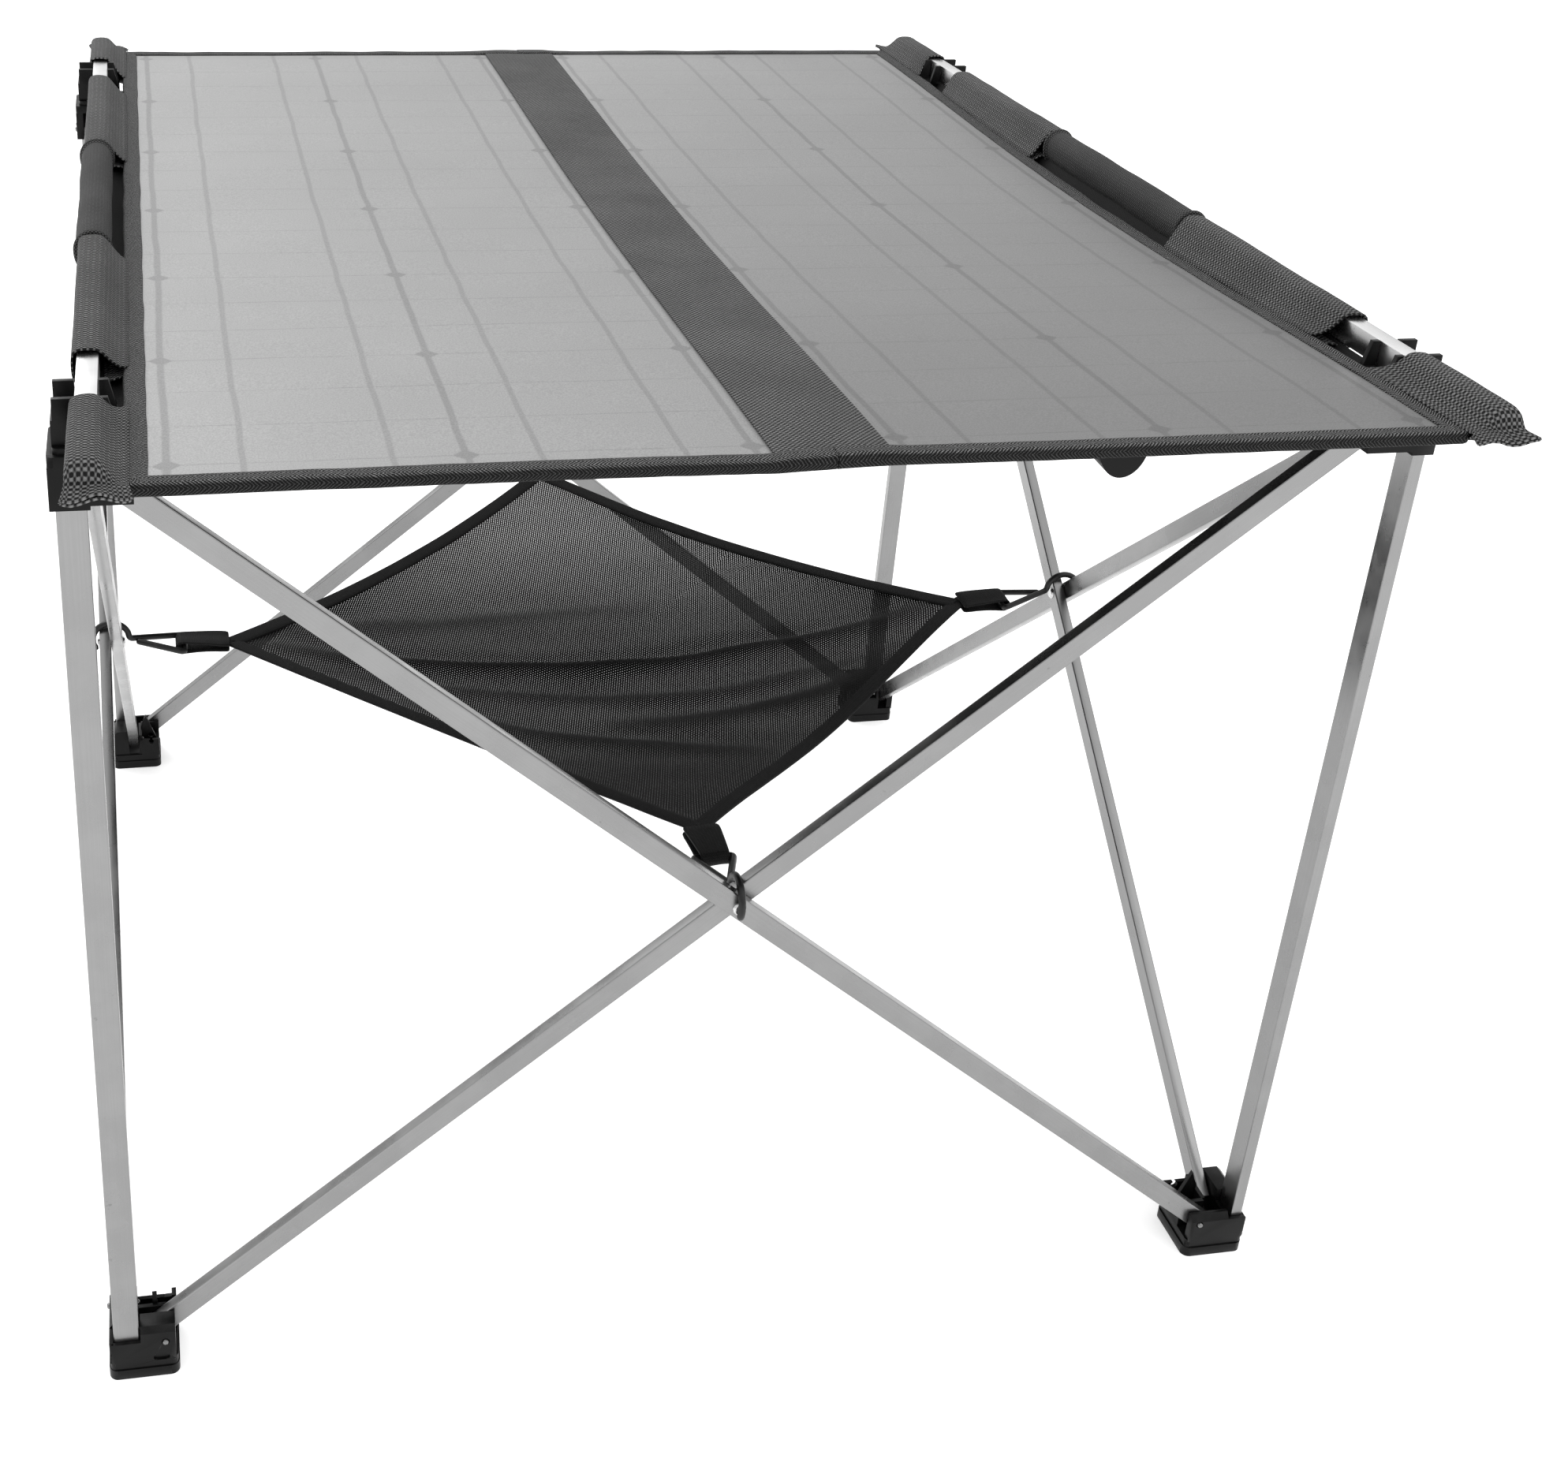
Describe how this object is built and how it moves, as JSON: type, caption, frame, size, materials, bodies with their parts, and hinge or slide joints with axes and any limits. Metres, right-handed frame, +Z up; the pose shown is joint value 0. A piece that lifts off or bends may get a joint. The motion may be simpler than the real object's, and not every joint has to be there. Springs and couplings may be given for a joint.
{
  "type": "folding camp kitchen table",
  "caption": "Square folding camp table: crossed-brace aluminium frame, lift-off two-panel solar top that folds shut, and a hung mesh shelf.",
  "frame": {"origin": "on the ground, under the middle of the table", "axes": "+Z up, +X to the table's right, -Y to the table's front; the side rails run along Y"},
  "size_m": [0.6798, 0.85, 0.5838],
  "materials": {
    "corner_plastic": "moulded glass-filled nylon, fine grain",
    "rivet_metal": "plain domed rivets",
    "tube_aluminium": "extruded, satin",
    "rail_aluminium": "extruded, bright",
    "hook_wire": "black coated steel wire",
    "webbing": "black woven webbing",
    "shelf_mesh": "open black mesh",
    "solar_panel": "textured translucent front sheet over cells",
    "cover_fabric": "coarse woven polyester with bound edges",
    "grip_fabric": "padded woven polyester",
    "box_plastic": "moulded, fine grain"
  },
  "bodies": {
    "foot_front_right": {"foot_front_right": "corner_plastic", "foot_rivets_front_right": "rivet_metal"},
    "foot_back_right": {"foot_back_right": "corner_plastic", "foot_rivets_back_right": "rivet_metal"},
    "foot_back_left": {"foot_back_left": "corner_plastic", "foot_rivets_back_left": "rivet_metal"},
    "foot_front_left": {"foot_front_left": "corner_plastic", "foot_rivets_front_left": "rivet_metal"},
    "hub_front_right": {"hub_front_right": "corner_plastic", "hub_rivets_front_right": "rivet_metal", "rail_cradle_front_right": "corner_plastic", "post_front_right": "tube_aluminium"},
    "hub_back_right": {"hub_back_right": "corner_plastic", "hub_rivets_back_right": "rivet_metal", "rail_cradle_back_right": "corner_plastic", "post_back_right": "tube_aluminium"},
    "hub_back_left": {"hub_back_left": "corner_plastic", "hub_rivets_back_left": "rivet_metal", "rail_cradle_back_left": "corner_plastic", "post_back_left": "tube_aluminium"},
    "hub_front_left": {"hub_front_left": "corner_plastic", "hub_rivets_front_left": "rivet_metal", "rail_cradle_front_left": "corner_plastic", "post_front_left": "tube_aluminium"},
    "outer_brace_front": {"outer_brace_front": "tube_aluminium"},
    "inner_brace_front": {"inner_brace_front": "tube_aluminium"},
    "crossing_front": {"crossing_rivet_front": "rivet_metal"},
    "hook_front": {"mesh_hook_front": "hook_wire"},
    "mesh_front": {"mesh_front": "shelf_mesh", "mesh_loop_front": "webbing"},
    "outer_brace_right": {"outer_brace_right": "tube_aluminium"},
    "inner_brace_right": {"inner_brace_right": "tube_aluminium"},
    "crossing_right": {"crossing_rivet_right": "rivet_metal"},
    "hook_right": {"mesh_hook_right": "hook_wire"},
    "mesh_right": {"mesh_right": "shelf_mesh", "mesh_loop_right": "webbing"},
    "outer_brace_back": {"outer_brace_back": "tube_aluminium"},
    "inner_brace_back": {"inner_brace_back": "tube_aluminium"},
    "crossing_back": {"crossing_rivet_back": "rivet_metal"},
    "hook_back": {"mesh_hook_back": "hook_wire"},
    "mesh_back": {"mesh_back": "shelf_mesh", "mesh_loop_back": "webbing"},
    "outer_brace_left": {"outer_brace_left": "tube_aluminium"},
    "inner_brace_left": {"inner_brace_left": "tube_aluminium"},
    "crossing_left": {"crossing_rivet_left": "rivet_metal"},
    "hook_left": {"mesh_hook_left": "hook_wire"},
    "mesh_left": {"mesh_left": "shelf_mesh", "mesh_loop_left": "webbing"},
    "top_left": {"solar_panel_left": "solar_panel", "top_cover_left": "cover_fabric", "side_rail_left": "rail_aluminium", "rail_sleeves_left": "cover_fabric", "grip_left": "grip_fabric"},
    "top_right": {"solar_panel_right": "solar_panel", "top_cover_right": "cover_fabric", "side_rail_right": "rail_aluminium", "rail_sleeves_right": "cover_fabric", "grip_right": "grip_fabric", "junction_box": "box_plastic"}
  },
  "joints": [
    {"name": "frame_fold", "type": "hinge", "parent": "foot_front_right", "child": "outer_brace_front", "pos_m": [0.308, -0.3295, 0.024], "axis": [0, 1, 0], "range_deg": [0, 45]},
    {"name": "crossing_turn_front", "type": "hinge", "parent": "outer_brace_front", "child": "crossing_front", "pos_m": [0, -0.32575, 0.2805], "axis": [0, 1, 0], "range_deg": [-45, 0]},
    {"name": "inner_brace_turn_front", "type": "hinge", "parent": "outer_brace_front", "child": "inner_brace_front", "pos_m": [0, -0.32575, 0.2805], "axis": [0, 1, 0], "range_deg": [-90, 0]},
    {"name": "hub_turn_front_left", "type": "hinge", "parent": "outer_brace_front", "child": "hub_front_left", "pos_m": [-0.308, -0.3295, 0.537], "axis": [0, 1, 0], "range_deg": [-45, 0]},
    {"name": "foot_turn_front_left", "type": "hinge", "parent": "inner_brace_front", "child": "foot_front_left", "pos_m": [-0.308, -0.322, 0.024], "axis": [0, 1, 0], "range_deg": [0, 45]},
    {"name": "hub_turn_front_right", "type": "hinge", "parent": "inner_brace_front", "child": "hub_front_right", "pos_m": [0.308, -0.322, 0.537], "axis": [0, 1, 0], "range_deg": [0, 45]},
    {"name": "inner_brace_turn_right", "type": "hinge", "parent": "foot_front_right", "child": "inner_brace_right", "pos_m": [0.322, -0.308, 0.024], "axis": [-1, 0, 0], "range_deg": [-45, 0]},
    {"name": "crossing_turn_right", "type": "hinge", "parent": "inner_brace_right", "child": "crossing_right", "pos_m": [0.32575, 0, 0.2805], "axis": [-1, 0, 0], "range_deg": [0, 45]},
    {"name": "outer_brace_turn_right", "type": "hinge", "parent": "inner_brace_right", "child": "outer_brace_right", "pos_m": [0.32575, 0, 0.2805], "axis": [-1, 0, 0], "range_deg": [0, 90]},
    {"name": "foot_turn_back_right", "type": "hinge", "parent": "outer_brace_right", "child": "foot_back_right", "pos_m": [0.3295, 0.308, 0.024], "axis": [-1, 0, 0], "range_deg": [-45, 0]},
    {"name": "hub_turn_back_right", "type": "hinge", "parent": "inner_brace_right", "child": "hub_back_right", "pos_m": [0.322, 0.308, 0.537], "axis": [-1, 0, 0], "range_deg": [0, 45]},
    {"name": "inner_brace_turn_back", "type": "hinge", "parent": "foot_back_right", "child": "inner_brace_back", "pos_m": [0.308, 0.322, 0.024], "axis": [0, -1, 0], "range_deg": [-45, 0]},
    {"name": "crossing_turn_back", "type": "hinge", "parent": "inner_brace_back", "child": "crossing_back", "pos_m": [0, 0.32575, 0.2805], "axis": [0, -1, 0], "range_deg": [0, 45]},
    {"name": "outer_brace_turn_back", "type": "hinge", "parent": "inner_brace_back", "child": "outer_brace_back", "pos_m": [0, 0.32575, 0.2805], "axis": [0, -1, 0], "range_deg": [0, 90]},
    {"name": "foot_turn_back_left", "type": "hinge", "parent": "outer_brace_back", "child": "foot_back_left", "pos_m": [-0.308, 0.3295, 0.024], "axis": [0, -1, 0], "range_deg": [-45, 0]},
    {"name": "hub_turn_back_left", "type": "hinge", "parent": "inner_brace_back", "child": "hub_back_left", "pos_m": [-0.308, 0.322, 0.537], "axis": [0, -1, 0], "range_deg": [0, 45]},
    {"name": "inner_brace_turn_left", "type": "hinge", "parent": "foot_back_left", "child": "inner_brace_left", "pos_m": [-0.322, 0.308, 0.024], "axis": [1, 0, 0], "range_deg": [-45, 0]},
    {"name": "crossing_turn_left", "type": "hinge", "parent": "inner_brace_left", "child": "crossing_left", "pos_m": [-0.32575, 0, 0.2805], "axis": [1, 0, 0], "range_deg": [0, 45]},
    {"name": "outer_brace_turn_left", "type": "hinge", "parent": "inner_brace_left", "child": "outer_brace_left", "pos_m": [-0.32575, 0, 0.2805], "axis": [1, 0, 0], "range_deg": [0, 90]},
    {"name": "hook_slide_front", "type": "slide", "parent": "crossing_front", "child": "hook_front", "axis": [0, 0, 1], "range_m": [0, 0.0815]},
    {"name": "mesh_swing_front", "type": "hinge", "parent": "hook_front", "child": "mesh_front", "pos_m": [0, -0.281, 0.277], "axis": [-1, 0, 0], "range_deg": [0, 90], "deforming": ["mesh_front", "mesh_loop_front"]},
    {"name": "hook_slide_right", "type": "slide", "parent": "crossing_right", "child": "hook_right", "axis": [0, 0, 1], "range_m": [0, 0.088]},
    {"name": "mesh_swing_right", "type": "hinge", "parent": "hook_right", "child": "mesh_right", "pos_m": [0.281, 0, 0.277], "axis": [0, -1, 0], "range_deg": [0, 90], "deforming": ["mesh_right", "mesh_loop_right"]},
    {"name": "hook_slide_back", "type": "slide", "parent": "crossing_back", "child": "hook_back", "axis": [0, 0, 1], "range_m": [0, 0.0815]},
    {"name": "mesh_swing_back", "type": "hinge", "parent": "hook_back", "child": "mesh_back", "pos_m": [0, 0.281, 0.277], "axis": [1, 0, 0], "range_deg": [0, 90], "deforming": ["mesh_back", "mesh_loop_back"]},
    {"name": "hook_slide_left", "type": "slide", "parent": "crossing_left", "child": "hook_left", "axis": [0, 0, 1], "range_m": [0, 0.088]},
    {"name": "mesh_swing_left", "type": "hinge", "parent": "hook_left", "child": "mesh_left", "pos_m": [-0.281, 0, 0.277], "axis": [0, 1, 0], "range_deg": [0, 90], "deforming": ["mesh_left", "mesh_loop_left"]},
    {"name": "top_lift", "type": "slide", "parent": "hub_front_right", "child": "top_left", "axis": [0.6498, -0.6498, 0.3942], "range_m": [0, 0.4196]},
    {"name": "top_fold", "type": "hinge", "parent": "top_left", "child": "top_right", "pos_m": [0, 0, 0.5713], "axis": [0, -1, 0], "range_deg": [0, 174]}
  ],
  "couplings": [
    {"joint": "crossing_turn_front", "follows": "frame_fold", "ratio": -1},
    {"joint": "inner_brace_turn_front", "follows": "frame_fold", "ratio": -2},
    {"joint": "hub_turn_front_left", "follows": "frame_fold", "ratio": -1},
    {"joint": "foot_turn_front_left", "follows": "frame_fold", "ratio": 1},
    {"joint": "hub_turn_front_right", "follows": "frame_fold", "ratio": 1},
    {"joint": "inner_brace_turn_right", "follows": "frame_fold", "ratio": -1},
    {"joint": "crossing_turn_right", "follows": "frame_fold", "ratio": 1},
    {"joint": "outer_brace_turn_right", "follows": "frame_fold", "ratio": 2},
    {"joint": "foot_turn_back_right", "follows": "frame_fold", "ratio": -1},
    {"joint": "hub_turn_back_right", "follows": "frame_fold", "ratio": 1},
    {"joint": "inner_brace_turn_back", "follows": "frame_fold", "ratio": -1},
    {"joint": "crossing_turn_back", "follows": "frame_fold", "ratio": 1},
    {"joint": "outer_brace_turn_back", "follows": "frame_fold", "ratio": 2},
    {"joint": "foot_turn_back_left", "follows": "frame_fold", "ratio": -1},
    {"joint": "hub_turn_back_left", "follows": "frame_fold", "ratio": 1},
    {"joint": "inner_brace_turn_left", "follows": "frame_fold", "ratio": -1},
    {"joint": "crossing_turn_left", "follows": "frame_fold", "ratio": 1},
    {"joint": "outer_brace_turn_left", "follows": "frame_fold", "ratio": 2},
    {"joint": "hook_slide_front", "follows": "frame_fold", "m_per_rad": 0.1025},
    {"joint": "mesh_swing_front", "follows": "frame_fold", "ratio": 2},
    {"joint": "hook_slide_right", "follows": "frame_fold", "m_per_rad": 0.11077},
    {"joint": "mesh_swing_right", "follows": "frame_fold", "ratio": 2},
    {"joint": "hook_slide_back", "follows": "frame_fold", "m_per_rad": 0.1025},
    {"joint": "mesh_swing_back", "follows": "frame_fold", "ratio": 2},
    {"joint": "hook_slide_left", "follows": "frame_fold", "m_per_rad": 0.11077},
    {"joint": "mesh_swing_left", "follows": "frame_fold", "ratio": 2},
    {"joint": "top_lift", "follows": "frame_fold", "m_per_rad": 0.53293}
  ]
}
